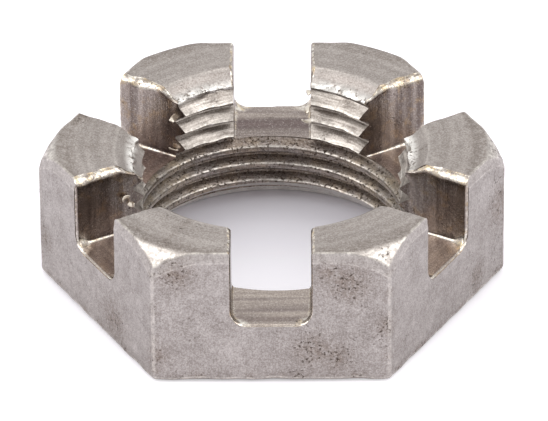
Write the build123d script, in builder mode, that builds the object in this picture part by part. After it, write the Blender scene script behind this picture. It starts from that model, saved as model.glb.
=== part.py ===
from build123d import *
from build123d.topology import SkipClean
from math import radians, tan
import os

# Thin castle nut for a 1 inch, 14 turns per inch spindle thread, in plain steel.
# The slots between its six prongs take the split pin that stops it turning.
#
# All sizes are in millimetres. Z is the thread's axis and points out of the slotted end.
# The bearing face lies at Z = 0, flats of the hexagon face -Y and +Y, and corners point along -X and +X.

# Driving dimensions
inch = 25.4
across_flats = 1.4375 * inch    # 1 7/16 inch spanner
height = 13.3                   # bearing face to the tops of the prongs
turns_per_inch = 14
major_diameter = 1.0 * inch     # across the thread's roots
crest_cut = 0.885               # major less minor diameter, in pitches: the crests stand a little short
slot_count = 6
slot_width = 7.1
slot_floor = 6.4                # height of the slot floors above the bearing face
deep_slot_floor = 5.8           # the slot towards -Y was cut a little deeper
slot_corner_radius = 0.9        # left between floor and wall by the cutter

# Crown: the top of the blank is turned with two cones, one above the other
crown_flat_radius = 19.4        # where the flat top ends
crown_angle = 38                # fall of the upper cone, degrees
shoulder_radius = 20.27         # where the steeper lower cone starts
shoulder_angle = 55             # fall of the lower cone, degrees

# Tapped hole and the countersinks at its two ends
drill_radius = 11.0             # before the thread's crests are opened out
top_sink_radius = 14.2
top_sink_depth = 1.9
seat_sink_radius = 13.7
seat_sink_depth = 1.9

# Broken edges
corner_break = 0.2              # the six upright corners
rim_break = 0.35                # round the bearing face
mouth_break = 0.35              # where a slot comes out of its flat
lip_break = 0.7                 # along the slots' upper edges, filed more

# Worked out from the driving dimensions
tiny = 0.01                                         # margin when edges are picked by where they lie
pitch = inch / turns_per_inch
minor_diameter = major_diameter - crest_cut * pitch     # across the crests
bore_radius = minor_diameter / 2
flat_distance = across_flats / 2
outside_radius = across_flats                       # any radius clear of the corners
shoulder_height = height - (shoulder_radius - crown_flat_radius) * tan(radians(crown_angle))
outside_height = shoulder_height - (outside_radius - shoulder_radius) * tan(radians(shoulder_angle))


with BuildPart() as castle_nut:
    # Hexagonal blank
    with BuildSketch():
        RegularPolygon(radius=flat_distance, side_count=6, major_radius=False)
    extrude(amount=height)
    fillet(castle_nut.edges().filter_by(Axis.Z), radius=corner_break)

    # Turned crown: keep what lies inside the flat top and its two cones
    with BuildSketch(Plane.XZ):
        with BuildLine():
            Polyline(
                (0, -height),
                (0, height),
                (crown_flat_radius, height),
                (shoulder_radius, shoulder_height),
                (outside_radius, outside_height),
                (outside_radius, -height),
                close=True,
            )
        make_face()
    revolve(axis=Axis.Z, mode=Mode.INTERSECT)

    # Bearing face rim
    fillet(castle_nut.faces().sort_by(Axis.Z)[0].edges(), radius=rim_break)

    # Drilled hole, narrower than the thread
    Hole(radius=drill_radius)

    # Slots, cut outwards from the axis through the middle of each flat
    for number in range(slot_count):
        floor = deep_slot_floor if number == 0 else slot_floor
        slot_plane = Plane.XZ.rotated((0, 0, 360 / slot_count * number))
        with BuildSketch(slot_plane) as slot:
            with Locations((0, floor)):
                Rectangle(slot_width, height, align=(Align.CENTER, Align.MIN))
            fillet(slot.vertices().group_by(Axis.Z)[0], radius=slot_corner_radius)
        extrude(amount=outside_radius, mode=Mode.SUBTRACT)

        # Break the slot's mouth in the flat
        outwards = Axis((0, 0, 0), slot_plane.z_dir)
        cut_edges = castle_nut.edges(Select.LAST)
        mouth_edges = cut_edges.filter_by_position(outwards, flat_distance - tiny, flat_distance + tiny)
        fillet(mouth_edges, radius=mouth_break)

        # Break its upper edges: a wider cut that leaves a quarter round on each side
        with BuildSketch(slot_plane):
            with Locations((0, height)):
                Rectangle(slot_width + 2 * lip_break, 2 * lip_break)
            with Locations((0, height - lip_break)):
                with GridLocations(slot_width + 2 * lip_break, 0, 2, 1):
                    Circle(lip_break, mode=Mode.SUBTRACT)
        extrude(amount=outside_radius, mode=Mode.SUBTRACT)

    # Hole at the thread's crests, opened first through the closed ring, with the bearing face's countersink
    with BuildSketch(Plane.XZ):
        with BuildLine():
            Polyline(
                (0, 0),
                (seat_sink_radius, 0),
                (bore_radius, seat_sink_depth),
                (bore_radius, slot_floor),
                (0, slot_floor),
                close=True,
            )
        make_face()
    revolve(axis=Axis.Z, mode=Mode.SUBTRACT)

    # and then between the prongs, with the top countersink. Left uncleaned, so that the
    # prongs' walls are not merged with the ring's.
    with BuildSketch(Plane.XZ):
        with BuildLine():
            Polyline(
                (0, slot_floor),
                (bore_radius, slot_floor),
                (bore_radius, height - top_sink_depth),
                (top_sink_radius, height),
                (0, height),
                close=True,
            )
        make_face()
    with SkipClean():
        revolve(axis=Axis.Z, mode=Mode.SUBTRACT, clean=False)

castle_nut.part.label = "castle_nut"

os.makedirs("parts", exist_ok=True)
export_step(castle_nut.part, "parts/castle_nut.step")

print("bore radius", round(bore_radius, 3), "volume", round(castle_nut.part.volume))
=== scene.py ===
# %% [markdown]
# A thin castle nut, worked out as surfaces
#
# A castle nut is a hexagon nut whose top is cut into six prongs by slots. A split pin goes
# through two of the slots and through a hole in the spindle, so the nut can't turn back.
# This one is a plain steel nut 1 7/16 inches across its flats with a 1 inch, 14 turns per inch
# thread. It is built the way a factory makes it: a hexagonal blank with a turned crown, then
# a tap that leaves the thread, then a cutter for each slot. Each of these is a surface
# worked out with numpy, and the steel is one material made only of nodes.

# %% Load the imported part
import math

import bpy
import numpy as np
from mathutils import Matrix, Vector


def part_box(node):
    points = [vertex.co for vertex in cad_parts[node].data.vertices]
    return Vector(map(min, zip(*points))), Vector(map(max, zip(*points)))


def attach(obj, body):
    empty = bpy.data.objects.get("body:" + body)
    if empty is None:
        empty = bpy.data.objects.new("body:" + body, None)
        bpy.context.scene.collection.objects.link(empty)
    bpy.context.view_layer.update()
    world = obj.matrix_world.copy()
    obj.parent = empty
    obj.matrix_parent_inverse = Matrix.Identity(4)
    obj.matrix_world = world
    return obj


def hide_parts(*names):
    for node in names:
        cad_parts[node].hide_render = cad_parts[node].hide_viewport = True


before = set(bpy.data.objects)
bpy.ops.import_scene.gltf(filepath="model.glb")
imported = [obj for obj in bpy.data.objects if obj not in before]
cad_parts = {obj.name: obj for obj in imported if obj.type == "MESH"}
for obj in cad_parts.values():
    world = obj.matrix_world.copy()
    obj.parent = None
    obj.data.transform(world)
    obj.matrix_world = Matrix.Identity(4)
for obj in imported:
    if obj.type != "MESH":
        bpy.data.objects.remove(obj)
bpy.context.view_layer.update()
low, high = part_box("castle_nut")
mm = 0.001
print("castle nut in mm:", [round((b - a) / mm, 2) for a, b in zip(low, high)])

# %% [markdown]
# The sizes
#
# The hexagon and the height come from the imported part. The other sizes are those of the
# same nut: its slots, its crown and the countersinks at both ends of the hole. All lengths
# are in millimetres until a mesh is made.

# %% Sizes of the nut
across_flats = (high[1] - low[1]) / mm
height = (high[2] - low[2]) / mm
flat_distance = across_flats / 2
side = across_flats / math.sqrt(3)

inch = 25.4
pitch = inch / 14
crest_cut = 0.885               # major less minor diameter, in pitches
crest_radius = (inch - crest_cut * pitch) / 2
crest_height = 1.42             # where a crest passes through +X, above the bearing face

slot_count = 6
half_slot = 7.1 / 2             # half of a slot's width
slot_floor = 6.4
deep_slot_floor = 5.8           # the slot towards -Y was cut a little deeper

crown_flat_radius = 19.4
crown_slope = math.tan(math.radians(38))
shoulder_radius = 20.27
shoulder_slope = math.tan(math.radians(55))
shoulder_height = height - (shoulder_radius - crown_flat_radius) * crown_slope

drill_radius = 11.0
sink_depth = 1.9                # of the countersinks at both ends of the hole
top_sink_radius = 14.2
top_sink_slope = sink_depth / (top_sink_radius - crest_radius)
seat_sink_radius = 13.7
seat_sink_slope = sink_depth / (seat_sink_radius - crest_radius)
print("across flats", round(across_flats, 2), "height", round(height, 2), "pitch", round(pitch, 3))

# %% [markdown]
# The camera
#
# It looks down on the nut from about 32 degrees, square to one flat. It stands far off behind
# a long lens, so the near and far sides of the nut look almost the same size.

# %% Camera
camera_elevation = math.radians(32.3)
camera_azimuth = math.radians(0.456)
camera_roll = math.radians(-0.466)
camera_distance = 633.2 * mm
camera_aside, camera_above = 0.14 * mm, 5.36 * mm
sensor_width, lens_length = 36, 456.3

back = Vector((
    math.sin(camera_azimuth) * math.cos(camera_elevation),
    -math.cos(camera_azimuth) * math.cos(camera_elevation),
    math.sin(camera_elevation),
))
right = Vector((math.cos(camera_azimuth), math.sin(camera_azimuth), 0))
up = back.cross(right)
right, up = (
    right * math.cos(camera_roll) + up * math.sin(camera_roll),
    up * math.cos(camera_roll) - right * math.sin(camera_roll),
)
camera = bpy.data.objects.new("camera", bpy.data.cameras.new("camera"))
bpy.context.collection.objects.link(camera)
camera.data.sensor_width = sensor_width
camera.data.lens = lens_length
camera.data.clip_start, camera.data.clip_end = 0.01, 20
camera.matrix_world = Matrix((
    (right.x, up.x, back.x, 0), (right.y, up.y, back.y, 0), (right.z, up.z, back.z, 0), (0, 0, 0, 1),
))
camera.location = back * camera_distance + right * camera_aside + up * camera_above
bpy.context.scene.camera = camera
bpy.context.scene.view_settings.view_transform = "Standard"
print("camera at", [round(v, 3) for v in camera.location])

# %% [markdown]
# Nodes and colours
#
# Every material below is a graph of nodes. One function adds a node with its settings and
# links. A colour is written as the hex value that a paint program shows, and another
# function turns it into the linear values that Blender works in. The settings that come up
# again and again, such as adding or blending, have names of their own.

# %% Node and colour helpers
def linear(hex_colour):
    """An sRGB hex colour as linear red, green, blue and alpha."""
    values = [int(hex_colour[i:i + 2], 16) / 255 for i in (1, 3, 5)]
    return [v / 12.92 if v <= 0.04045 else ((v + 0.055) / 1.055) ** 2.4 for v in values] + [1]


def add(tree, kind, settings=None, **inputs):
    """Adds a node. Settings are its properties. An input is named as its socket is, with _ for a
    space, or by in_ and its number. It is given a number, a hex colour, another node's output
    socket, or another node, which stands for its first output in use."""
    node = tree.nodes.new("ShaderNode" + kind)
    for key, value in (settings or {}).items():
        setattr(node, key, value)
    for key, value in inputs.items():
        if key.startswith("in_"):
            socket = node.inputs[int(key[3:])]
        else:
            socket = next(s for s in node.inputs if s.enabled and s.name == key.replace("_", " "))
        if isinstance(value, bpy.types.Node):
            value = next(s for s in value.outputs if s.enabled)
        if isinstance(value, bpy.types.NodeSocket):
            tree.links.new(value, socket)
        else:
            socket.default_value = linear(value) if isinstance(value, str) else value
    return node


def new_tree(owner):
    """The empty node tree of a material or world."""
    owner.use_nodes = True
    owner.node_tree.nodes.clear()
    return owner.node_tree


plus, minus, times = {"operation": "ADD"}, {"operation": "SUBTRACT"}, {"operation": "MULTIPLY"}
greater = {"operation": "MAXIMUM"}
blend = {"data_type": "RGBA"}
darken = {"data_type": "RGBA", "blend_type": "MULTIPLY"}
print("hex #808080 is linear", round(linear("#808080")[0], 3))

# %% [markdown]
# The studio
#
# The nut lies on white paper with soft light all round. The paper and the room are white
# where the camera or the metal sees them, but the light that falls on them is plain, so the
# paper keeps the nut's faint shadow. Two soft boxes stand at the left and right, and one
# hangs above and behind.

# %% Soft boxes
def soft_box(name, azimuth, elevation, distance, size, radiance):
    """A square lamp that faces the nut. Its power is its radiance times pi times its area."""
    lamp = bpy.data.lights.new(name, "AREA")
    lamp.size = size
    lamp.energy = radiance * math.pi * size * size
    box = bpy.data.objects.new(name, lamp)
    bpy.context.collection.objects.link(box)
    box.visible_camera = False
    a, e = math.radians(azimuth), math.radians(elevation)
    towards = Vector((math.cos(a) * math.cos(e), math.sin(a) * math.cos(e), math.sin(e)))
    box.location = towards * distance
    box.rotation_euler = towards.to_track_quat("Z", "Y").to_euler()
    print(name, round(lamp.energy, 2), "W")


soft_box("left_box", azimuth=200, elevation=42, distance=0.60, size=0.42, radiance=1.9)
soft_box("right_box", azimuth=340, elevation=42, distance=0.60, size=0.42, radiance=1.7)
soft_box("top_box", azimuth=90, elevation=78, distance=0.60, size=0.30, radiance=1.2)

# %% [markdown]
# The room
#
# The world is white to rays from the camera, in reflections and through glass, and a little
# darker as a light. A Light Path node says which kind of ray is asking.

# %% White room
room_light, room_seen = 0.7, 1.0
world = bpy.data.worlds.new("white_room")
bpy.context.scene.world = world
tree = new_tree(world)
path = add(tree, "LightPath").outputs
looked_at = add(tree, "Math", greater, in_0=path["Is Camera Ray"], in_1=path["Is Glossy Ray"])
looked_at = add(tree, "Math", greater, in_0=looked_at, in_1=path["Is Transmission Ray"])
level = add(tree, "MapRange", Value=looked_at, To_Min=room_light, To_Max=room_seen)
sky = add(tree, "Background", Color="#FFFFFF", Strength=level)
add(tree, "OutputWorld", Surface=sky)
print("room gives", room_light, "and shows as", room_seen)

# %% [markdown]
# The paper
#
# The paper is a plain matt sheet. To the camera it has a faint glow, which takes it to pure
# white away from the nut and leaves the soft shadow close to it. Seen through the hole, the
# glow fades towards the back, where the nut's own wall keeps the light off. The metal
# reflects a weaker, even glow, so that its lower parts are not too dark. Object coordinates
# are in metres, so every distance is written in millimetres times mm.

# %% White paper
paper_half, paper_drop = 3.0, 0.2 * mm
hole_near, hole_far, hole_glow = -8 * mm, 9 * mm, 0.34
shadow_start, shadow_end, open_glow = 17 * mm, 26 * mm, 0.45
metal_glow = 0.22

paper_mesh = bpy.data.meshes.new("paper")
corners = [(x * paper_half, y * paper_half, -paper_drop) for x, y in ((-1, -1), (1, -1), (1, 1), (-1, 1))]
paper_mesh.from_pydata(corners, [], [(0, 1, 2, 3)])
paper = bpy.data.objects.new("paper", paper_mesh)
bpy.context.collection.objects.link(paper)
white_paper = bpy.data.materials.new("white_paper")
tree = new_tree(white_paper)
path = add(tree, "LightPath").outputs
spot = add(tree, "TexCoord").outputs["Object"]
spot_y = add(tree, "SeparateXYZ", Vector=spot).outputs["Y"]
from_axis = add(tree, "VectorMath", {"operation": "LENGTH"}, in_0=spot)
inside = add(tree, "MapRange", Value=spot_y, From_Min=hole_near, From_Max=hole_far,
             To_Min=hole_glow, To_Max=0.0)
outside = add(tree, "MapRange", {"interpolation_type": "SMOOTHSTEP"}, Value=from_axis,
              From_Min=shadow_start, From_Max=shadow_end, To_Min=0.0, To_Max=open_glow)
white = add(tree, "Math", plus, in_0=inside, in_1=outside)
to_eye = add(tree, "Math", times, in_0=path["Is Camera Ray"], in_1=white)
to_metal = add(tree, "Math", times, in_0=path["Is Glossy Ray"], in_1=metal_glow)
lift = add(tree, "Math", plus, in_0=to_eye, in_1=to_metal)
glow = add(tree, "Emission", Color="#FFFFFF", Strength=lift)
sheet = add(tree, "BsdfDiffuse", Color="#F1EEF5")
both = add(tree, "AddShader", in_0=sheet, in_1=glow)
add(tree, "OutputMaterial", Surface=both)
paper_mesh.materials.append(white_paper)
print("white paper has", len(tree.nodes), "nodes")

# %% [markdown]
# From numbers to a mesh
#
# A surface is a table of points, rows by columns. Each four neighbouring points make a
# face. Where the table's last row meets its first, the surface closes like a tyre. The metal
# must lie inside the surface, so the volume that the faces enclose is worked out, and if it is
# negative, every face is turned over. Each face also carries values at its corners, which
# say how that bit of the surface was made and where light or shade is painted on it. The
# material reads them, and they come through the cutting unharmed.

# %% Mesh helpers
def table_faces(rows, columns, wrap_rows=False, wrap_columns=False):
    """The four corners of each face of a table of points, as numbers row * columns + column."""
    r = np.arange(rows if wrap_rows else rows - 1)[:, None]
    c = np.arange(columns if wrap_columns else columns - 1)[None, :]
    next_r, next_c = (r + 1) % rows, (c + 1) % columns
    square = [r * columns + c, r * columns + next_c, next_r * columns + next_c, next_r * columns + c]
    return np.stack(np.broadcast_arrays(*square), -1).reshape(-1, 4)


def fan_faces(loop, centre):
    """Triangles from a closed loop of point numbers to one centre point."""
    loop = np.asarray(loop)
    return np.stack([loop, np.roll(loop, -1), np.full(len(loop), centre)], -1)


def enclosed_volume(points, faces):
    """The sum over triangles of a . (b x c) / 6, which is positive if faces point outwards."""
    total = 0.0
    for k in range(1, faces.shape[1] - 1):
        a, b, c = points[faces[:, 0]], points[faces[:, k]], points[faces[:, k + 1]]
        total += np.einsum("ij,ij->i", a, np.cross(b, c)).sum() / 6
    return total


def metal(name, points, squares, caps=(), **made):
    """A mesh object from points in millimetres, turned to face outwards. Values in made are
    squares by four corners by three, under the names that the material reads. Caps get zeros."""
    tables = [squares, *caps]
    turn = slice(None, None, -1 if sum(enclosed_volume(points, t) for t in tables) < 0 else 1)
    mesh = bpy.data.meshes.new(name)
    mesh.from_pydata((points * mm).tolist(), [], [face for t in tables for face in t[:, turn].tolist()])
    no_marks = np.zeros((sum(cap.size for cap in caps), 3))
    for key, values in made.items():
        values = np.concatenate([values[:, turn].reshape(-1, 3), no_marks]).astype(np.float32)
        mesh.attributes.new(key, "FLOAT_VECTOR", "CORNER").data.foreach_set("vector", values.ravel())
    piece = bpy.data.objects.new(name, mesh)
    bpy.context.collection.objects.link(piece)
    print(name, len(points), "points,", sum(map(len, tables)), "faces")
    return piece


def corner_values(squares, *tables):
    """Three tables of point values, or single numbers, as they stand at each square's corners."""
    full = np.stack(np.broadcast_arrays(*tables), -1).astype(float)
    return full.reshape(-1, len(tables))[squares]


def ramp(value, start, end):
    """0 before start, 1 after end, and smooth between them: 3t^2 - 2t^3."""
    t = np.clip((np.asarray(value, dtype=float) - start) / (end - start), 0, 1)
    return t * t * (3 - 2 * t)


print("a table of 3 by 4 points that closes both ways has", len(table_faces(3, 4, True, True)), "faces")

# %% [markdown]
# Worn, not perfect
#
# Real edges are never even. A ripple is a few sine waves with different lengths and random
# starts, added up. It wanders smoothly between about -1 and 1, and the same seed always gives
# the same wander. Crumple is the same in space: waves that run in random directions.

# %% Ripple and crumple
def ripple(along, wavelength, seed, waves=5):
    """The mean of some sine waves of different lengths and starts, scaled to about -1 to 1."""
    chance = np.random.default_rng(seed)
    lengths = wavelength * chance.uniform(0.5, 2.0, waves)
    starts = chance.uniform(0, 2 * np.pi, waves)
    along = np.asarray(along, dtype=float)[..., None]
    return np.sin(2 * np.pi * along / lengths + starts).sum(-1) * 1.6 / waves


def crumple(points, wavelength, seed, waves=9):
    """The mean of sine waves that run through space in random directions, about -1 to 1."""
    chance = np.random.default_rng(seed)
    directions = chance.normal(size=(waves, 3))
    lengths = wavelength * chance.uniform(0.6, 1.8, (waves, 1))
    directions /= np.linalg.norm(directions, axis=1)[:, None] * lengths
    starts = chance.uniform(0, 2 * np.pi, waves)
    return np.sin(2 * np.pi * points @ directions.T + starts).sum(-1) * 2.2 / waves


def spaced(*stops):
    """Numbers along stops given as start, (end, steps), (end, steps) and so on."""
    values, last = [np.array([stops[0]], dtype=float)], stops[0]
    for end, steps in stops[1:]:
        values.append(np.linspace(last, end, steps + 1)[1:])
        last = end
    return np.concatenate(values)


print("a ripple at 0, 1 and 2 mm:", np.round(ripple([0, 1, 2], 3.0, 1), 2))

# %% [markdown]
# Stains
#
# Rust and dirt gather in places. A patch is a soft round spot in space that is full at its
# centre and has faded at its size. The list for the bar's sides gives each patch's centre and
# size in millimetres: beside and under the front slot, along the rim, and at the far right.

# %% Patches
def patches(points, spots):
    """The strongest of some spots, exp(-(distance / size)^2), at each point of a table."""
    return np.max([np.exp(-(((points - spot[:3]) / spot[3]) ** 2).sum(-1)) for spot in spots], axis=0)


rust_spots = np.array([
    [3.8, -18.3, 3.2, 1.6], [5.8, -18.3, 2.4, 1.3], [6.8, -18.3, 10.2, 1.9], [5.0, -18.3, 11.4, 1.0],
    [-8.4, -18.3, 11.2, 1.5], [-10.2, -18.3, 2.6, 1.0], [10.3, -18.3, 5.8, 1.0], [-14.0, -12.0, 2.4, 1.8],
    [20.6, -0.5, 7.6, 2.2], [18.6, -4.5, 2.0, 1.2], [-20.6, -1.0, 4.0, 1.0], [-17.5, 5.4, 13.1, 1.2],
])
print(len(rust_spots), "patches of rust")

# %% [markdown]
# The blank
#
# The blank is a slice of hexagonal bar with a drilled hole. A lathe has faced its top, turned
# two cones that take off the corners, and countersunk the hole. Seen from the side, the top is
# the lowest of four lines: the flat, the two cones and the countersink. Taking a soft lowest,
# where lines that are nearly equal pull each other down, gives each crease a small radius.

# %% Height of the crown
def soft_lowest(heights, softness):
    """minus k times the log of the sum of exp(-height / k), which rounds the creases."""
    return -softness * np.logaddexp.reduce([-h / softness for h in np.broadcast_arrays(*heights)])


def crown(radius):
    """Height of the turned top at a distance from the axis."""
    turned_cones = soft_lowest([
        height,
        height - (radius - crown_flat_radius) * crown_slope,
        shoulder_height - (radius - shoulder_radius) * shoulder_slope,
    ], 0.05)
    return soft_lowest([turned_cones, height - (top_sink_radius - radius) * top_sink_slope], 0.10)


def seat(radius):
    """Height of the bearing side: 0, and rising into its countersink."""
    return -soft_lowest([0.0, (radius - seat_sink_radius) * seat_sink_slope], 0.03)


print("corner of the crown at", round(float(crown(2 * flat_distance / math.sqrt(3) - 0.1)), 2), "mm")

# %% [markdown]
# Around the hexagon
#
# Columns run around the nut and rows run around its section like hoops round a tyre. A
# hexagon with rounded corners is a smaller sharp hexagon that is pushed out along a
# direction by the corner's radius: the direction is square to the flat along a flat, and
# swings through 60 degrees at a corner. Pushing out less gives the same outline a little
# further in, which rounds the rims over.

# %% Columns and outline
half_flat = spaced(0, (3.0, 4), (9.6, 19), (10.3, 7)) / 10.3
along_flat = np.concatenate([-half_flat[:0:-1], half_flat])
corner_swing = spaced(0, (60, 7))[1:-1]
column_flat = np.tile(np.concatenate([along_flat, np.ones(len(corner_swing))]), 6)
column_turn = np.tile(np.concatenate([np.zeros(len(along_flat)), corner_swing]), 6)
flat_number = np.repeat(np.arange(6), len(along_flat) + len(corner_swing))
facing = np.radians(-90 + 60 * flat_number)
pushing = facing + np.radians(column_turn)
columns = len(facing)


def outline(inset, corner_radius):
    """Points round the hexagon: the middle of the inner hexagon's edge plus a part of its length,
    plus the corner radius less the inset along the outward direction."""
    inner = flat_distance - corner_radius
    reach = side / 2 - corner_radius * math.tan(math.radians(30))
    push = corner_radius - inset
    x = inner * np.cos(facing) - column_flat * reach * np.sin(facing) + push * np.cos(pushing)
    y = inner * np.sin(facing) + column_flat * reach * np.cos(facing) + push * np.sin(pushing)
    return np.stack([x, y], -1)


corner_base = 0.30
plain_outline = outline(0, corner_base)
step_round = np.linalg.norm(np.roll(plain_outline, -1, axis=0) - plain_outline, axis=1)
# Lengths round the nut are counted from the middle of the flat at the back
length_round = np.cumsum(step_round) - step_round
length_round = (length_round - length_round[3 * columns // 6 + len(along_flat) // 2]) % step_round.sum()
corner_number = (flat_number + (column_flat > 0)) % 6
to_corner = (1 - np.abs(column_flat)) * side / 2
print(columns, "columns round", round(step_round.sum(), 1), "mm")

# %% [markdown]
# Rows of the blank
#
# The rows start at the hole on the bearing side, go out to the rim, up the sides, over the
# upper edge, and back in across the crown. High on each side there is a narrow facet, where
# the sides lean in by a fifth of a millimetre. Each row also says how worn it is: edges
# and corners are rubbed bright. The same value paints light: the facet a little lighter with
# a bright line along its fold, and the turned cones at the corners partly as a highlight.

# %% Rows and their wear
rows, kinds, worn_and_highlit = [], [], []


def hoop(xy, z, kind, wear_and_highlight=0.0):
    """Adds one row of the blank: points in plan with their heights, what it is, and its wear and painted
    highlight.
    """
    rows.append(np.concatenate([xy, np.broadcast_to(z, columns)[:, None]], -1))
    kinds.append(kind)
    worn_and_highlit.append(np.broadcast_to(np.maximum(wear_and_highlight, 0), columns))


def corner_radius(z):
    """The corners' radius wanders on the way up, differently at each corner."""
    wander = 0.08 * ripple(z + 40 * corner_number, 3.0, 13) + 0.04 * ripple(z + 40 * corner_number, 0.9, 14)
    return np.clip(corner_base + wander, 0.22, 0.6)


corner_wear = 0.45 * np.exp(-(to_corner / 0.07) ** 2)
facet_lean, facet_height = 0.20, 1.00 + 0.10 * ripple(length_round, 9, 15)
rim_break = 0.34 + 0.09 * ripple(length_round, 5, 11)
arris_break = 0.11 + 0.04 * ripple(length_round, 3, 12)
arris_wear = 0.55 + 0.45 * ripple(length_round, 1.6, 17)


def facet_inset(depth):
    """How far the side leans in at a depth below the upper edge: the lean times
    1 - depth / height, which ends softly at 0 and not in a fold."""
    return facet_lean * 0.05 * np.logaddexp(0, (1 - depth / facet_height) / 0.05)


print("facet from", round(facet_height.min(), 2), "to", round(facet_height.max(), 2), "mm high")

# %% [markdown]
# The bearing side and the rim
#
# Each row of the bearing side is a circle whose points stand in line with those of the rim.
# The rim is a quarter circle in six rows: at an angle a, it is sin(a) of its radius out and
# 1 - cos(a) of its radius up.

# %% Bearing side and rim
rim_start = outline(rim_break, corner_base + 0.2)
heading = rim_start / np.linalg.norm(rim_start, axis=1)[:, None]
for r in spaced(drill_radius, (13.5, 5), (13.9, 4), (17.4, 6)):
    hoop(heading * r, seat(r), "seat", math.exp(-((r - seat_sink_radius) / 0.15) ** 2))
for a in np.radians(spaced(0, (90, 5))):
    rim_outline = outline(rim_break * (1 - math.sin(a)), corner_base + 0.2)
    hoop(rim_outline, rim_break * (1 - math.cos(a)), "rim", 0.8 * math.sin(a) ** 8)
hoop(outline(0, corner_base), rim_break + 0.09, "side")
print(len(rows), "rows up to the rim")

# %% [markdown]
# The sides
#
# The rows climb evenly to the facet and then stand closer, so that the fold and the worn
# edge have enough points. Depths are measured down from the upper edge, which rises and
# falls round the nut where the cones meet the flats.

# %% Sides, from the rim to the facet and the upper edge
edge_height = crown(np.linalg.norm(outline(facet_inset(0), corner_base), axis=1))
facet_depths = [facet_height * k for k in (1.25, 1.1, 1.0, 0.9, 0.7, 0.45)] + [0.2 + arris_break, arris_break]
long_run = edge_height - rim_break - facet_depths[0]
for depth in [facet_depths[0] + long_run * (1 - f) for f in spaced(0, (1, 15))[1:-1]] + facet_depths:
    z = edge_height - depth
    # Besides the rubbed corners and upper edge, this paints the facet a little lighter and a bright line
    # along its fold: painted light where the facet tilts
    hoop(outline(facet_inset(depth), corner_radius(z)), z, "side",
         np.maximum.reduce([corner_wear, arris_wear * np.exp(-(depth / 0.11) ** 2),
                             0.16 * ramp(depth, facet_height * 1.1, facet_height),
                             0.5 * np.exp(-((depth - facet_height) / 0.07) ** 2)]))
print("upper edge from", round(edge_height.min(), 2), "to", round(edge_height.max(), 2), "mm")

# %% [markdown]
# The upper edge and the crown
#
# The worn edge is a curve with three control points: one on the side, one where the sharp
# edge would be, and one on the crown. A point at t is (1 - t)^2 of the first, 2t(1 - t) of
# the second and t^2 of the third. From there the rows run in across the crown, and some lie
# right on its creases, because a crease between two rows would be lost.

# %% Upper edge and crown
side_point = rows[-1]
edge_xy = outline(facet_inset(0), corner_base)
inner_xy = outline(facet_inset(0) + arris_break, corner_base + 0.05)
crown_edge_radius = np.linalg.norm(inner_xy, axis=1)
edge_point = np.concatenate([edge_xy, edge_height[:, None]], -1)
crown_point = np.concatenate([inner_xy, crown(crown_edge_radius)[:, None]], -1)
for t in spaced(0, (1, 5))[1:]:
    curve = side_point * (1 - t) ** 2 + edge_point * 2 * t * (1 - t) + crown_point * t ** 2
    hoop(curve[:, :2], curve[:, 2], "edge" if t < 0.55 else "crown", arris_wear)
heading = inner_xy / crown_edge_radius[:, None]
for k, r in enumerate(spaced(20.75, (20.40, 2), (20.14, 4), (19.56, 3), (19.24, 4), (18.3, 3))):
    radius = np.minimum(r, crown_edge_radius - 0.03 * (k + 1))
    edge_wear = arris_wear * np.exp(-((crown_edge_radius - radius) / 0.08) ** 2)
    # Beyond 19.3 mm the turned cones at the corners are painted bright: partly rubbed smooth, partly a
    # painted highlight
    hoop(heading * radius[:, None], crown(radius), "crown",
         np.maximum(edge_wear, 0.8 * ramp(radius, 19.3, 19.8)))
for r in spaced(17.6, (14.6, 8), (14.35, 2), (14.05, 5), (13.6, 3), (12.9, 5), (11.5, 12), (drill_radius, 1)):
    hoop(heading * r, crown(r), "crown", 0.35 * math.exp(-((r - top_sink_radius) / 0.12) ** 2))
print(len(rows), "rows in all")

# %% [markdown]
# How each face of the blank was made
#
# Tool marks follow the tool. On a turned face they run round the axis, so there the first
# mark is the distance from the axis and the second is the length round. On the drawn sides
# the first is the length round and the second is the height. The third keeps the two
# patterns apart.

# %% Marks on the blank
blank_points = np.stack(rows)
blank_squares = table_faces(len(rows), columns, True, True)
on_top = np.array([kind == "crown" for kind in kinds])
on_seat = np.array([kind == "seat" for kind in kinds])
turned_face = np.repeat(on_top & np.roll(on_top, -1) | on_seat, columns)[:, None]
along_round = np.stack([length_round, length_round + step_round] * 2, -1)[:, [0, 1, 3, 2]]
along_round = np.tile(along_round, (len(rows), 1))
blank_radius = np.linalg.norm(blank_points[..., :2], axis=-1)
across = np.where(turned_face, blank_radius.reshape(-1)[blank_squares], along_round)
onward = np.where(turned_face, along_round, blank_points[..., 2].reshape(-1)[blank_squares])
blank_marks = np.stack([across, onward, np.where(turned_face, 100.0, 50.0) + 0 * across], -1)
print(int(turned_face.sum()), "of", len(blank_squares), "faces are turned")

# %% [markdown]
# Dirt, rust and torn metal on the blank
#
# Dirt gathers round the lower rim and in a ring on the flat top, near its outer edge. Rust
# sits in the patches, along the corners and low on the sides. The ridge at the top of the
# thread is torn.

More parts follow.
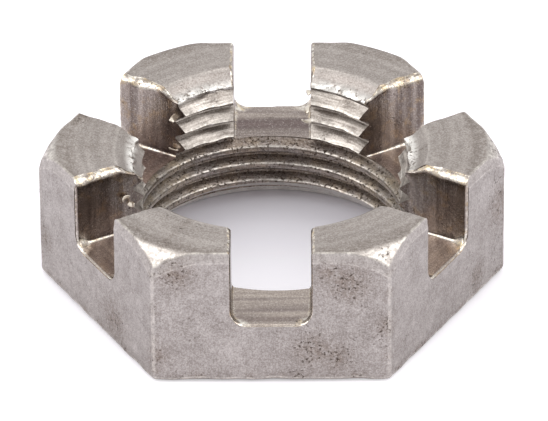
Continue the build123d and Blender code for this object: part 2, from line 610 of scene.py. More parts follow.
# %% Blank
blank_z = blank_points[..., 2]
torn = np.exp(-((blank_radius - 12.80) / 0.36) ** 2) * (blank_z > height / 2)
turned = np.broadcast_to(on_top[:, None].astype(float), blank_z.shape)
rim_dirt = np.exp(-((blank_z - 0.12) / 0.20) ** 2) * (blank_radius > 17.5)
top_dirt = 0.55 * ramp(blank_radius, 17.6, 18.3) * ramp(blank_radius, 19.6, 19.2) * turned
stained = np.maximum(rim_dirt, top_dirt)
rust = patches(blank_points, rust_spots)
along_corner = np.clip(ripple(blank_z + 30 * corner_number, 1.8, 18), 0, 1)
rust = np.maximum(rust, 0.7 * along_corner * np.exp(-(to_corner / 0.45) ** 2))
along_rim = np.clip(0.3 + ripple(length_round, 4, 19), 0, 1)
rust = np.maximum(rust, 0.9 * along_rim * np.exp(-((blank_z - 0.3) / 0.35) ** 2))
blank = metal(
    "castle_nut_steel", blank_points.reshape(-1, 3), blank_squares,
    marks=blank_marks,
    age=corner_values(blank_squares, rust, 0.0, 0.0),
    finish=corner_values(blank_squares, np.stack(worn_and_highlit), 0.0, 0.0),
    skin=corner_values(blank_squares, torn, turned, stained),
)

# %% [markdown]
# The tap
#
# The thread is what is left when a tap has been through the hole. The tap's surface is one
# tooth of the thread, drawn as a distance from the axis over one pitch of height, and
# carried round a helix: each full turn lifts it by exactly one pitch, so the top of each
# turn's strip is the bottom of the next one's. Fans of triangles close its two ends, which
# lie well outside the nut. Half a tooth is drawn, from the middle of its flat crest down its
# flank to the root, and then mirrored. Some crests are sharp, so there is a second half tooth.

# %% Tooth of the thread
steps_round = 216
tooth_height = np.array([0, 0.18, 0.27, 0.36, 0.50, 0.63, 0.74, 0.80, 0.85, 0.907])
tooth_depth = np.array([0, 0.01, 0.07, 0.19, 0.41, 0.63, 0.82, 0.885, 0.9, 0.9])
sharp_depth = np.array([-0.17, 0.04, 0.14, 0.26, 0.46, 0.66, 0.82, 0.885, 0.9, 0.9])
thread_depth = tooth_depth.max()
flat_edge = np.exp(-((tooth_height - 0.27) / 0.06) ** 2)
sharp_edge = np.exp(-(tooth_height / 0.12) ** 2)
tooth_height = np.concatenate([tooth_height, pitch - tooth_height[-2:0:-1]])
tooth_depth, sharp_depth, flat_edge, sharp_edge = [
    np.concatenate([v, v[-2:0:-1]]) for v in (tooth_depth, sharp_depth, flat_edge, sharp_edge)]
tooth_points = len(tooth_height)
print(tooth_points, "points in a tooth", thread_depth, "mm deep")

# %% [markdown]
# The helix
#
# A right-handed thread climbs as it turns anticlockwise, seen from above. So the height at
# an angle is the start plus one pitch times the angle over a full turn. The helix starts
# below the nut and ends above it.

# %% Helix
first_turn, turns = -2, 10
helix_start = first_turn * pitch + crest_height
helix_steps = np.arange(steps_round * (turns + 1) + 1)
last = steps_round * turns
helix_angle = 2 * np.pi * helix_steps / steps_round
helix_height = helix_start + pitch * helix_angle / (2 * np.pi)
print("helix of", turns, "turns from", round(helix_start, 2), "mm")

# %% [markdown]
# A torn thread
#
# Where the thread is cut through by the slots its crests are thin, so they are rolled over,
# bitten and burred. The wander of the crests is larger there, they droop a little, and they
# stand a little further in.

# %% Surface of the tap
crest = 1 - tooth_depth / thread_depth
travel = helix_angle * crest_radius
on_prong = ramp(helix_height, slot_floor - 0.6, slot_floor + 1.0)
tear = 0.030 * ripple(travel, 1.7, 21) + 0.045 * ripple(travel, 5.0, 22)
bite = np.clip(ripple(travel, 2.6, 23) - 0.85, 0, 1) * 0.4
droop = 0.10 * on_prong + 0.04 * ripple(travel, 2.2, 24) * on_prong
blunt = 1 - on_prong[:, None]
radius = crest_radius + tooth_depth * blunt + sharp_depth * (1 - blunt)
radius += crest * ((tear + bite) * (0.5 + on_prong))[:, None]
z = helix_height[:, None] + tooth_height - (crest ** 2) * droop[:, None]
strip = np.stack([radius * np.cos(helix_angle)[:, None], radius * np.sin(helix_angle)[:, None], z], -1)
strip_points = strip[:last + 1].reshape(-1, 3)
extra_points = strip[last + 1:, 0]
ends = np.array([[0, 0, z.min() - 2], [0, 0, z[last].max() + 4]])
print("crests between", round(radius.min(), 2), "and roots at", round(radius.max(), 2), "mm from the axis")

# %% [markdown]
# Faces of the tap
#
# The strip of each turn shares its upper points with the strip above, so a point has one
# number however it is reached. The two loops run round the open ends, and a fan closes each.

# %% Faces of the tap
def tap_point(column, row):
    """The number of a point of the strip. Row tooth_points is row 0 one turn further on."""
    column, row = np.where(row == tooth_points, column + steps_round, column), row % tooth_points
    on_strip = column * tooth_points + row
    return np.where(column > last, len(strip_points) + column - last - 1, on_strip)


c, r = [v.reshape(-1, 1) for v in np.meshgrid(np.arange(last), np.arange(tooth_points), indexing="ij")]
c, r = np.concatenate([c, c, c + 1, c + 1], 1), np.concatenate([r, r + 1, r + 1, r], 1)
bottom_loop = np.concatenate([
    tap_point(np.arange(steps_round + 1), np.zeros(steps_round + 1, int)),
    tap_point(np.zeros(tooth_points - 1, int), np.arange(tooth_points - 1, 0, -1)),
])
top_loop = np.concatenate([
    tap_point(np.full(tooth_points + 1, last), np.arange(tooth_points + 1)),
    tap_point(np.arange(last + steps_round - 1, last, -1), np.zeros(steps_round - 1, int)),
])
tap_points = np.concatenate([strip_points, extra_points, ends])
below, above = len(tap_points) - 2, len(tap_points) - 1
print("loops of", len(bottom_loop), "and", len(top_loop), "points")

# %% [markdown]
# What the tap leaves
#
# The crests are rubbed bright and carry painted highlight lines, the topmost turn is torn,
# and the grooves hold dirt. In the closed ring below the slots the thread is duller, and it is
# darkened towards the back with painted shade.

# %% Tap
tooth_run = np.append(tooth_height, pitch)
prong_here = on_prong[c]
# Painted highlight with some wear: bright lines along the edges of the crest flats in the ring, and bright
# sharp crests on the prongs
flat_wear_and_highlight = np.append(flat_edge, flat_edge[0])[r] * (1 - prong_here) * 0.7
crest_wear_and_highlight = flat_wear_and_highlight + np.append(sharp_edge, 1)[r] * prong_here
run_height = helix_height[c] + tooth_run[r]
torn_here = ramp(run_height, 11.80, 12.05)
# Painted shade: the ring of thread is darker towards the back of the hole
at_back = ramp(np.sin(helix_angle), 0.55, 0.95)
between_slots = ramp(run_height, slot_floor, slot_floor + 0.4)
groove = np.append(tooth_depth, 0)[r] / thread_depth * (1 - 0.6 * between_slots)
tap = metal(
    "tap", tap_points, tap_point(c, r), (fan_faces(bottom_loop, below), fan_faces(top_loop, above)),
    marks=np.stack([tooth_run[r], travel[c], np.full(c.shape, 150.0)], -1),
    age=np.stack([0 * run_height, 0.6 * at_back[c] * (1 - between_slots), 0 * run_height], -1),
    finish=np.stack([crest_wear_and_highlight, np.zeros(c.shape), np.ones(c.shape)], -1),
    skin=np.stack([torn_here, between_slots, groove], -1),
)

# %% [markdown]
# The slot cutter
#
# The slots are milled, then their edges are broken with a file or a brush. The cutter's
# section is a U, and it runs outwards from the hole through the middle of a flat. To round an
# edge, the cutter is a little wider close under the blank's surface: within the edge's
# radius, its wall leaves the slot along a quarter circle.

# %% Rounding of an edge
def edge_flare(depth, radius):
    """How much wider the slot is at a depth below the surface: the radius less the quarter
    circle's height, r - sqrt(r^2 - (r - depth)^2), and 0 below it. A twentieth of the radius is
    added to the depth, so that the wall never lies level at the surface."""
    left = np.clip(1 - (np.maximum(depth, 0) + 0.05 * radius) / radius, 0, 1)
    return radius * (1 - np.sqrt(1 - left ** 2))


print("at the surface a 1 mm edge flares by", round(float(edge_flare(0.0, 1.0)), 2), "mm")

# %% [markdown]
# Half of a slot
#
# The two walls of a slot differ, so each half of its section is worked out by itself, for
# all stations at once. The columns run from above the nut down the wall, round the lower
# corner and along the floor to its middle. The wall's steps are close where its lip curves.

# %% Half of a slot's section
def slot_half(number, out, lip_size, seed):
    """One half of a slot's section at each station: from above the top down the wall, round
    the corner and along the floor to the middle. Returns tables of x, z, wear and painted
    highlight, floor, and scorch and painted shade."""
    floor = deep_slot_floor if number == 0 else slot_floor
    inside = flat_distance - facet_lean * 0.5 - out
    bottom_radius = 0.24 + 0.16 * ramp(out, 13.0, 17.0) + 1.0 * ramp(out, 16.7, 18.3)
    top = crown(np.hypot(half_slot, out))
    lip = np.interp(out, [12.8, 13.8, 15.5], [0.30, 0.45 + 0.3 * lip_size, lip_size])
    lip = lip * (1 + 0.16 * ripple(out, 2.0, seed))
    mouth = edge_flare(inside, 0.24 * (1 + 0.25 * ripple(out, 2.0, seed + 1)))

    # The wall: close steps through the lip, even ones below it
    lip_depth = np.array([-4.0, -0.5, 0.0, 0.03, 0.08, 0.16, 0.26, 0.38, 0.52, 0.7, 1.0]) * lip
    wall_depth = lip + (top - floor - bottom_radius - lip) * spaced(0, (1, 10))[1:-1]
    depth = np.concatenate([lip_depth, wall_depth], 1)
    flare = np.minimum(np.hypot(edge_flare(depth, lip), mouth), 1.1 * np.maximum(lip, 0.3))
    wave = 0.02 * ripple(out, 6.0, seed + 2)
    wall_x, wall_z = half_slot + flare + wave, top - depth

    # The corner's curve, then the floor
    turn = np.radians(spaced(0, (90, 7)))
    push = bottom_radius + mouth
    curve_x = half_slot - bottom_radius + push * np.cos(turn) + wave * (1 - turn / turn[-1])
    curve_z = floor + bottom_radius - push * np.sin(turn)
    floor_x = (half_slot - bottom_radius) * spaced(1, (0, 5))[1:]
    floor_z = floor - mouth + 0 * floor_x
    x = np.concatenate([wall_x, curve_x, floor_x], 1)
    z = np.concatenate([wall_z, curve_z, floor_z], 1)

    wear_and_highlight = np.zeros_like(x)
    wear_and_highlight[:, :depth.shape[1]] = ramp(flare, 0.02, 0.2)
    wear_and_highlight = np.maximum(wear_and_highlight, 0.55 * ramp(mouth, 0.03, 0.12))
    # Painted highlight: a bright line along the middle of the lower corner's curve, and the whole curve
    # bright near the mouth, partly a knocked-over burr
    wear_and_highlight[:, depth.shape[1]:-floor_x.shape[1]] += 0.8 * np.sin(2 * turn) ** 2 + ramp(out, 16.8, 17.3)
    wear_and_highlight = np.minimum(wear_and_highlight, 1)
    on_floor = ramp(z, floor + 0.5, floor + 0.1)
    scorch_and_shade = scorched_floor[number](out) * ramp(z, floor + 1.2, floor + 0.2)
    # Painted shadow, with some dirt: a dark line along each floor's inner edge, in the shade of the thread's
    # top crest
    scorch_and_shade = np.maximum(scorch_and_shade, 1.3 * np.exp(-((np.hypot(out, x) - crest_edge) / 0.25) ** 2) * on_floor)
    return x, z, wear_and_highlight, on_floor, scorch_and_shade


def band(centre, width, amount=1.0):
    """A dark stripe across a floor: amount times exp(-((distance - centre) / width)^2)."""
    return lambda out: amount * np.exp(-((out - centre) / width) ** 2)


crest_edge = 11.9               # where the floors end at the thread's crests
# One stripe for each slot, anticlockwise from the one towards -Y. The third has a clean floor.
scorched_floor = [
    band(17.1, 0.5, 0.7), band(13.0, 1.5, 0.4), band(15.0, 1.5, 0.0),
    band(14.9, 1.1, 1.3), band(14.0, 4.0, 0.9), band(13.0, 3.0, 0.6),
]
print("stripes on", sum(stripe(13.0) > 0 for stripe in scorched_floor), "floors")

# %% [markdown]
# A whole cutter
#
# Two halves make one closed section, and a row of sections makes the cutter. It is worked
# out as if it pointed along +X and then turned to its flat: a turn by an angle a takes
# (x, y) to (x cos a - y sin a, x sin a + y cos a).

# %% Slot cutters
def slot_cutter(number):
    """One cutter. Rows are stations outwards, columns run round the U and over its top."""
    out = spaced(8.0, (11.0, 2), (14.6, 20), (17.3, 9), (18.3, 16), (19.4, 2), (22.0, 1))[:, None]
    first = slot_half(number, out, lip_sizes[number][0], 100 + 10 * number)
    second = slot_half(number, out, lip_sizes[number][1], 105 + 10 * number)
    signs = (-1, 1, 1, 1, 1)
    section_x, section_z, wear_and_highlight, on_floor, scorch_and_shade = [
        np.concatenate([one, sign * two[:, -2::-1]], 1) for one, two, sign in zip(first, second, signs)]
    count, wide = section_x.shape
    run = np.cumsum(np.hypot(np.diff(section_x, axis=1, prepend=section_x[:, :1]),
                             np.diff(section_z, axis=1, prepend=section_z[:, :1])), 1)

    # Turn it to its flat
    a = math.radians(-90 + 60 * number)
    x = out * math.cos(a) - section_x * math.sin(a)
    y = out * math.sin(a) + section_x * math.cos(a)
    table = np.stack([x, y, section_z], -1)
    points = np.concatenate([table.reshape(-1, 3), table[[0, -1]].mean(1)])
    squares = table_faces(count, wide, False, True)
    caps = (
        fan_faces(np.arange(wide), count * wide)[:, ::-1],
        fan_faces(np.arange((count - 1) * wide, count * wide), count * wide + 1),
    )
    return metal(
        f"slot_cutter_{number}", points, squares, caps,
        marks=corner_values(squares, out, run, 200.0 + 20 * number),
        finish=corner_values(squares, wear_and_highlight, 1.0, 0.0),
        skin=corner_values(squares, 0.0, 0.0, on_floor),
        age=corner_values(squares, 0.0, scorch_and_shade, 0.0),
    )


# The lips were filed by hand, some far more than others: mm on the side that lies
# anticlockwise of each slot, and on the other side
lip_sizes = [(0.45, 0.45), (1.05, 0.45), (1.05, 0.45), (0.45, 0.45), (0.45, 1.05), (0.45, 1.05)]
slot_cutters = [slot_cutter(number) for number in range(slot_count)]
print(len(slot_cutters), "cutters")

# %% [markdown]
# Cutting the nut
#
# Boolean modifiers take the tap and the six cutters away from the blank. The result is
# made plain mesh data, and the cutters are deleted. Later, normals are weighted by the area
# of the faces around them, so that large flats look flat and rounded edges round.

# %% Cut
def settled(piece):
    """The piece with its modifiers made real, and the modifiers gone."""
    bpy.context.view_layer.update()
    made = bpy.data.meshes.new_from_object(piece.evaluated_get(bpy.context.evaluated_depsgraph_get()))
    piece.modifiers.clear()
    piece.data = made
    return piece


for cutter in [tap] + slot_cutters:
    cut = blank.modifiers.new(cutter.name, "BOOLEAN")
    cut.operation, cut.solver, cut.object = "DIFFERENCE", "MANIFOLD", cutter
nut = settled(blank)
for cutter in [tap] + slot_cutters:
    bpy.data.objects.remove(cutter)
print("cut by", 1 + slot_count, "cutters")

# %% [markdown]
# The ragged ridge
#
# Where the countersink meets the first turn of the thread, the metal is torn. The points near
# that ridge are pushed inwards and a little up by a crumple. It fades to nothing on the
# front prongs, which are clean.

# %% Ragged ridge
ridge_radius, ridge_height, ridge_width = 12.75, 12.1, 0.42
points = np.zeros(len(nut.data.vertices) * 3)
nut.data.vertices.foreach_get("co", points)
points = points.reshape(-1, 3) / mm
reach = np.hypot(points[:, 0], points[:, 1])
raggedness = ramp(points[:, 1], -6, -3)
raggedness = raggedness * np.exp(-((reach - ridge_radius) / ridge_width) ** 2)
raggedness = raggedness * np.exp(-((points[:, 2] - ridge_height) / ridge_width) ** 2)
push = raggedness * (0.20 + 0.18 * crumple(points, 1.5, 31) + 0.06 * crumple(points, 0.35, 32))
points[:, :2] -= points[:, :2] / reach[:, None] * push[:, None]
points[:, 2] += 0.6 * push
nut.data.vertices.foreach_set("co", (points * mm).ravel())
nut.data.update()
print("ridge moved by up to", round(push.max(), 2), "mm")

# %% [markdown]
# Smooth and sharp
#
# Edges that turn by more than 38 degrees stay sharp, and the rest are shaded smooth. The
# nut then rides on the part's only body and stands for its CAD node.

# %% Finished nut
nut.data.polygons.foreach_set("use_smooth", np.ones(len(nut.data.polygons), bool))
nut.data.set_sharp_from_angle(angle=math.radians(38))
weighted = nut.modifiers.new("weighted", "WEIGHTED_NORMAL")
weighted.keep_sharp = True
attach(nut, "root")
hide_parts("castle_nut")
corner_counts = np.zeros(len(nut.data.polygons), np.int32)
nut.data.polygons.foreach_get("loop_total", corner_counts)
print("nut", len(nut.data.vertices), "points,", int((corner_counts - 2).sum()), "triangles")

# %% [markdown]
# Chips
#
# Milling the slots left a few chips hanging on the thread. A chip is a thin strip with a
# rounded rectangle for a section, which is carried along an arc and twisted as it goes.

# %% Chips
def chip(centre, length, width, curl, heading):
    """Points and faces of one chip. Its middle line is an arc of radius length / curl that turns
    through curl radians. Its section is a rounded rectangle, narrower towards both ends, that
    twists as it goes. The whole is turned by heading and then moved to centre."""
    t = np.linspace(-0.5, 0.5, 9)[:, None]
    a = np.linspace(0, 2 * np.pi, 9)[:-1] + np.pi / 8
    across = width / 2 * (1 - 1.2 * t ** 2) * np.sign(np.cos(a)) * np.abs(np.cos(a)) ** 0.6
    lift = 0.05 * np.sign(np.sin(a)) * np.abs(np.sin(a)) ** 0.6
    bend = curl * t
    along = length / curl * np.sin(bend) + lift * np.sin(-bend)
    up = length / curl * (1 - np.cos(bend)) + lift * np.cos(bend)
    twist = 0.9 * t
    sideways = across * np.cos(twist) - lift * np.sin(twist)
    table = np.stack([along, sideways, up + across * np.sin(twist)], -1)
    ca, sa = math.cos(heading), math.sin(heading)
    ct, st = math.cos(2 * heading), math.sin(2 * heading)
    turn = np.array([[ca, -sa * ct, sa * st], [sa, ca * ct, -ca * st], [0, st, ct]])
    points = np.concatenate([table.reshape(-1, 3), table[[0, -1]].mean(1)]) @ turn.T + centre
    rows, sides = table.shape[:2]
    caps = (fan_faces(np.arange(sides), rows * sides)[:, ::-1],
            fan_faces(np.arange((rows - 1) * sides, rows * sides), rows * sides + 1))
    return points, table_faces(rows, sides, False, True), caps


fresh_chips = bpy.data.materials.new("fresh_chips")
tree = new_tree(fresh_chips)
bright = add(tree, "BsdfPrincipled", Base_Color="#E4DBCD", Metallic=1.0, Roughness=0.28)
add(tree, "OutputMaterial", Surface=bright)
print("fresh chips have", len(tree.nodes), "nodes")

# %% [markdown]
# Where the chips hang
#
# Two hang on the front wall of the left prong, two in the slot behind that prong and three on
# the right wall of the back slot. Their lengths, widths, curls and headings vary, so no two
# look alike.

# %% Chips in their places
chip_places = np.array([
    [-13.2, -3.85, 10.2], [-12.6, -3.55, 9.3], [-8.95, 9.15, 10.6], [-9.05, 9.0, 7.3],
    [3.25, 12.5, 9.6], [3.2, 12.4, 8.2], [3.35, 12.4, 11.4],
])
chip_lengths = [1.00, 0.70, 1.10, 0.90, 1.40, 1.10, 0.80]
for number, (centre, length) in enumerate(zip(chip_places, chip_lengths)):
    width, curl, heading = 0.48 + 0.07 * (number % 3), 1.6 - 0.3 * (number % 4), 0.9 + 1.7 * number
    points, squares, caps = chip(centre, length, width, curl, heading)
    flake = metal(f"steel_chip_{number + 1}", points, squares, caps)
    flake.data.materials.append(fresh_chips)
    flake.data.polygons.foreach_set("use_smooth", np.ones(len(flake.data.polygons), bool))
    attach(flake, "root")

# %% [markdown]
# Plain steel
#
# The nut is uncoated carbon steel. Its sides are as the bar was drawn, grey and a little
# mottled, with fine dark pits. Its top is turned, its slots are milled and have a brown
# oxide, and its thread is cut. Rubbed edges show bright metal, and some bright lines and
# patches are painted highlights. Colour and roughness start from the same steel everywhere
# and are changed by how each place was made and by painted light and shade. The attributes
# that the surfaces carry say how that was, each as three values.

# %% What each place says of itself
plain_steel = bpy.data.materials.new("plain_steel")
tree = new_tree(plain_steel)
place = add(tree, "TexCoord").outputs["Object"]
marks = add(tree, "Attribute", {"attribute_name": "marks"}).outputs["Vector"]
finish = add(tree, "Attribute", {"attribute_name": "finish"}).outputs["Vector"]
skin = add(tree, "Attribute", {"attribute_name": "skin"}).outputs["Vector"]
age = add(tree, "Attribute", {"attribute_name": "age"}).outputs["Vector"]
worn_and_highlit_edge, milled, threaded = add(tree, "SeparateXYZ", Vector=finish).outputs
torn_edge, turned_top, stain = add(tree, "SeparateXYZ", Vector=skin).outputs
rust, scorch_and_shade, _ = add(tree, "SeparateXYZ", Vector=age).outputs
in_ring = add(tree, "Math", {"operation": "SUBTRACT", "use_clamp": True}, in_0=threaded, in_1=turned_top)
carried = [a.name for a in nut.data.attributes if a.domain == "CORNER" and a.data_type == "FLOAT_VECTOR"]
print("the nut carries", carried)

# %% [markdown]
# Clouds and grains
#
# Noise makes the blotches. Its scale is one over the size of a blotch, and Object coordinates
# are in metres, so each size is in millimetres times mm. The largest is the cloudiness of
# the oxide, and the smallest is the steel's own grain. That is finer in truth than the 0.15
# mm used here, but it would be too fine to show.

# %% Clouds and grains
cloud = add(tree, "TexNoise", Vector=place, Scale=1 / (2.2 * mm), Detail=8, Roughness=0.72)
mottle = add(tree, "TexNoise", Vector=place, Scale=1 / (1.0 * mm), Detail=5, Roughness=0.65)
grit = add(tree, "TexNoise", Vector=place, Scale=1 / (0.75 * mm), Detail=7, Roughness=0.85)
grain = add(tree, "TexNoise", Vector=place, Scale=1 / (0.42 * mm), Detail=4, Roughness=0.6)
speckle = add(tree, "TexNoise", Vector=place, Scale=1 / (0.15 * mm), Detail=4, Roughness=0.8)
print(len(tree.nodes), "nodes with the clouds and grains")

# %% [markdown]
# Tool marks
#
# A tool leaves lines along its path. The marks attribute is in millimetres across and along
# that path, so noise that is scaled far more across than along draws lines. A Mapping
# node's scale is lines to the millimetre: 7 across and 0.4 along gives lines a seventh of
# a millimetre apart and two and a half long.

# %% Tool marks
brush_lines = add(tree, "Mapping", Vector=marks, Scale=(7.0, 0.40, 1.0))
brush = add(tree, "TexNoise", Vector=brush_lines, Scale=1.0, Detail=3, Roughness=0.6)
wide_lines = add(tree, "Mapping", Vector=marks, Scale=(1.1, 0.06, 1.0))
wide_brush = add(tree, "TexNoise", Vector=wide_lines, Scale=1.0, Detail=3, Roughness=0.5)
streak_lines = add(tree, "Mapping", Vector=marks, Scale=(2.6, 0.45, 1.0))
streak = add(tree, "TexNoise", Vector=streak_lines, Scale=1.0, Detail=5, Roughness=0.65)
tap_lines = add(tree, "Mapping", Vector=marks, Scale=(3.5, 0.12, 1.0))
tool_lines = add(tree, "TexNoise", Vector=tap_lines, Scale=1.0, Detail=4, Roughness=0.7)
print("four kinds of tool mark")

# %% [markdown]
# Pits
#
# Rust eats small pits. They are the high spots of a fine noise, and they show only where a
# wide noise, the rust or the dull ring of thread lets them.

# %% Pits
pit_cloud = add(tree, "TexNoise", Vector=place, Scale=1 / (2.4 * mm), Detail=3, Roughness=0.5)
pit_grain = add(tree, "TexNoise", Vector=place, Scale=1 / (0.26 * mm), Detail=3, Roughness=0.6)
scattered = add(tree, "MapRange", Value=pit_cloud, From_Min=0.54, From_Max=0.70, To_Min=0.0, To_Max=0.8)
gathered = add(tree, "Math", plus, in_0=rust, in_1=in_ring)
gathered = add(tree, "Math", times, in_0=gathered, in_1=1.3)
pit_field = add(tree, "Math", plus, in_0=scattered, in_1=gathered)
pits = add(tree, "MapRange", Value=pit_grain, From_Min=0.56, From_Max=0.68)
pits = add(tree, "Math", times, in_0=pits, in_1=pit_field)
print(len(tree.nodes), "nodes with the pits")

# %% [markdown]
# Drawn sides and turned top
#
# A Map Range node stretches a pattern to an amount, and a Mix node lays a colour on by that
# amount. The drawn bar is two greys and a grit. The turned top is two greys in wide rings
# and a darker cloud.

# %% Drawn sides and turned top
amount = add(tree, "MapRange", Value=cloud, From_Min=0.30, From_Max=0.70)
colour = add(tree, "Mix", blend, Factor=amount, A="#A19A96", B="#C6C0BC")
amount = add(tree, "MapRange", Value=grit, From_Min=0.46, From_Max=0.62, To_Min=0.0, To_Max=0.42)
colour = add(tree, "Mix", blend, Factor=amount, A=colour, B="#847C76")
amount = add(tree, "MapRange", Value=wide_brush, From_Min=0.32, From_Max=0.68)
turned_colour = add(tree, "Mix", blend, Factor=amount, A="#A39B96", B="#BFB7B2")
amount = add(tree, "MapRange", Value=cloud, From_Min=0.42, From_Max=0.66, To_Min=0.0, To_Max=0.5)
turned_colour = add(tree, "Mix", blend, Factor=amount, A=turned_colour, B="#958B85")
colour = add(tree, "Mix", blend, Factor=turned_top, A=colour, B=turned_colour)
print(len(tree.nodes), "nodes with the sides and the top")

# %% [markdown]
# Milled slots
#
# The walls are darker than the floors, and both are streaked across by the cutter. The
# walls have golden blotches, which are thin oxide from its heat.

# %% Milled slots
amount = add(tree, "MapRange", Value=wide_brush, From_Min=0.38, From_Max=0.62)
wall_colour = add(tree, "Mix", blend, Factor=amount, A="#6E625D", B="#AA9F98")
amount = add(tree, "MapRange", Value=brush, From_Min=0.50, From_Max=0.80, To_Min=0.0, To_Max=0.35)
wall_colour = add(tree, "Mix", blend, Factor=amount, A=wall_colour, B="#B9A793")
amount = add(tree, "MapRange", Value=mottle, From_Min=0.52, From_Max=0.68, To_Min=0.0, To_Max=0.6)
wall_colour = add(tree, "Mix", blend, Factor=amount, A=wall_colour, B="#AC9270")
amount = add(tree, "MapRange", Value=wide_brush, From_Min=0.36, From_Max=0.64)
floor_colour = add(tree, "Mix", blend, Factor=amount, A="#8A7D79", B="#C0B4AA")
slot_colour = add(tree, "Mix", blend, Factor=stain, A=wall_colour, B=floor_colour)
colour = add(tree, "Mix", blend, Factor=milled, A=colour, B=slot_colour)
print(len(tree.nodes), "nodes with the slots")

# %% [markdown]
# Cut thread
#
# The thread is light steel with lines along its helix and dark streaks. In the closed ring it
# is warmer, in clouds, and a little darker: it is multiplied by itself, by a fifth.

# %% Cut thread
amount = add(tree, "MapRange", Value=tool_lines, From_Min=0.36, From_Max=0.64)
thread_colour = add(tree, "Mix", blend, Factor=amount, A="#746B64", B="#DED6CE")
amount = add(tree, "MapRange", Value=streak, From_Min=0.50, From_Max=0.64, To_Min=0.0, To_Max=0.75)
thread_colour = add(tree, "Mix", blend, Factor=amount, A=thread_colour, B="#544B45")
amount = add(tree, "MapRange", Value=cloud, From_Min=0.44, From_Max=0.62, To_Min=0.0, To_Max=0.7)
warm = add(tree, "Math", times, in_0=in_ring, in_1=amount)
thread_colour = add(tree, "Mix", blend, Factor=warm, A=thread_colour, B="#BFAE93")
amount = add(tree, "Math", times, in_0=in_ring, in_1=0.2)
thread_colour = add(tree, "Mix", darken, Factor=amount, A=thread_colour, B=thread_colour)
colour = add(tree, "Mix", blend, Factor=threaded, A=colour, B=thread_colour)
print(len(tree.nodes), "nodes with the thread")

# %% [markdown]
# Heat, painted shade, rust and dirt
#
# These lie over every finish. Heat has left a purple grey where the cutter rubbed, and the
# same purple grey is painted shade at the back of the ring of thread and along the slot
# floors' inner edges. Rust and dirt are broken up by the grain, so they look soaked in and not
# painted on. Milled faces take no dirt.

# %% Heat, painted shade, rust and dirt
# Purple grey: heat tint on the slot floors, and painted shade at the back of the ring of thread and along the
# floors' inner edges
amount = add(tree, "MapRange", Value=scorch_and_shade, From_Min=0.0, From_Max=1.0)
colour = add(tree, "Mix", darken, Factor=amount, A=colour, B="#9A8C92")
amount = add(tree, "MapRange", Value=grain, From_Min=0.35, From_Max=0.60, To_Min=0.20, To_Max=0.85)
amount = add(tree, "Math", times, in_0=rust, in_1=amount)
colour = add(tree, "Mix", blend, Factor=amount, A=colour, B="#7F7064")
unmilled = add(tree, "Math", minus, in_0=1.0, in_1=milled)
dirt = add(tree, "Math", times, in_0=stain, in_1=unmilled)
amount = add(tree, "MapRange", Value=grain, From_Min=0.38, From_Max=0.62, To_Min=0.1, To_Max=0.9)
amount = add(tree, "Math", times, in_0=dirt, in_1=amount)
colour = add(tree, "Mix", blend, Factor=amount, A=colour, B="#6B5D52")
print(len(tree.nodes), "nodes with the dirt")

# %% [markdown]
# Fine lines and grains
#
# The last layers that cover the whole nut are dark lines, dull grains and bright grains.
# Each is a pattern, the range it is stretched from, the amounts it is stretched to, and a
# colour.

# %% Fine lines and grains
for pattern, start, end, least, most, tint in (
    (brush, 0.30, 0.60, 0.22, 0.0, "#7A716C"),
    (speckle, 0.36, 0.52, 0.55, 0.0, "#776D66"),
    (speckle, 0.52, 0.68, 0.0, 0.55, "#DAD4CE"),
):
    amount = add(tree, "MapRange", Value=pattern, From_Min=start, From_Max=end, To_Min=least, To_Max=most)
    colour = add(tree, "Mix", blend, Factor=amount, A=colour, B=tint)
print(len(tree.nodes), "nodes with the fine layers")

# %% [markdown]
# Bare and torn metal, and painted highlights
#
# Rubbed edges are bright, and golden on the slots' lips. The same bright colour is painted
# highlight on the slots' lower corners, the thread's crest lines, the facet and the turned
# cones at the corners. Torn metal is white flakes with dark gaps. The pits come last, so that
# they show on everything.

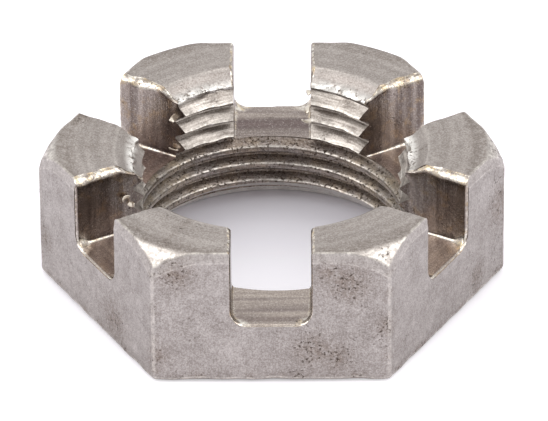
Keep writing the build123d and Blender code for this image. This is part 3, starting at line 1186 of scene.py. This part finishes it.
# %% Bare and torn metal, and painted highlights
# Painted highlight as well as wear: this bright colour lies on rubbed edges and on the highlights painted on
# corners, crests and the facet
amount = add(tree, "MapRange", Value=grain, From_Min=0.42, From_Max=0.60, To_Min=0.20, To_Max=1.0)
bare_and_highlit = add(tree, "Math", times, in_0=worn_and_highlit_edge, in_1=amount)
amount = add(tree, "MapRange", Value=mottle, From_Min=0.45, From_Max=0.62)
lip_colour = add(tree, "Mix", blend, Factor=amount, A="#ECE6DC", B="#D9C6A6")
bare_and_highlit_colour = add(tree, "Mix", blend, Factor=milled, A="#E8E2DA", B=lip_colour)
colour = add(tree, "Mix", blend, Factor=bare_and_highlit, A=colour, B=bare_and_highlit_colour)
amount = add(tree, "MapRange", Value=mottle, From_Min=0.36, From_Max=0.50, To_Min=0.35, To_Max=1.0)
flaky = add(tree, "Math", times, in_0=torn_edge, in_1=amount)
amount = add(tree, "MapRange", Value=grain, From_Min=0.36, From_Max=0.46)
flake_colour = add(tree, "Mix", blend, Factor=amount, A="#7B7067", B="#FBF8F3")
colour = add(tree, "Mix", blend, Factor=flaky, A=colour, B=flake_colour)
amount = add(tree, "MapRange", Value=pits, From_Min=0.0, From_Max=0.8, To_Min=0.0, To_Max=0.9)
colour = add(tree, "Mix", blend, Factor=amount, A=colour, B="#463A31")
print(len(tree.nodes), "nodes with the bare metal")

# %% [markdown]
# Roughness
#
# Drawn steel is satin. Milled, rubbed and torn places are smoother, and so are the places
# painted as highlights, so each takes a little off the roughness.

# %% Roughness
rough = add(tree, "MapRange", Value=cloud, From_Min=0.30, From_Max=0.70, To_Min=0.44, To_Max=0.34)
for smoother, taken_off in ((milled, 0.14), (bare_and_highlit, 0.10), (torn_edge, 0.14)):
    less = add(tree, "Math", times, in_0=smoother, in_1=taken_off)
    rough = add(tree, "Math", minus, in_0=rough, in_1=less)
print("roughness from 0.44 down")

# %% [markdown]
# Relief
#
# Grain, tool marks and pits are too small for the mesh, so they are bump. A relief of 1
# stands three hundredths of a millimetre high.

# %% Relief and the finished steel
grain_relief = add(tree, "Math", times, in_0=grain, in_1=0.5)
brush_relief = add(tree, "Math", times, in_0=brush, in_1=0.25)
relief = add(tree, "Math", plus, in_0=grain_relief, in_1=brush_relief)
thread_relief = add(tree, "Math", times, in_0=threaded, in_1=tool_lines)
relief = add(tree, "Math", plus, in_0=relief, in_1=thread_relief)
pit_relief = add(tree, "Math", times, in_0=pits, in_1=0.8)
relief = add(tree, "Math", minus, in_0=relief, in_1=pit_relief)
bump = add(tree, "Bump", Strength=1.0, Distance=0.03 * mm, Height=relief)
steel = add(tree, "BsdfPrincipled", Base_Color=colour, Metallic=1.0, Roughness=rough, Normal=bump)
add(tree, "OutputMaterial", Surface=steel)
nut.data.materials.clear()
nut.data.materials.append(plain_steel)
print("plain steel has", len(tree.nodes), "nodes")
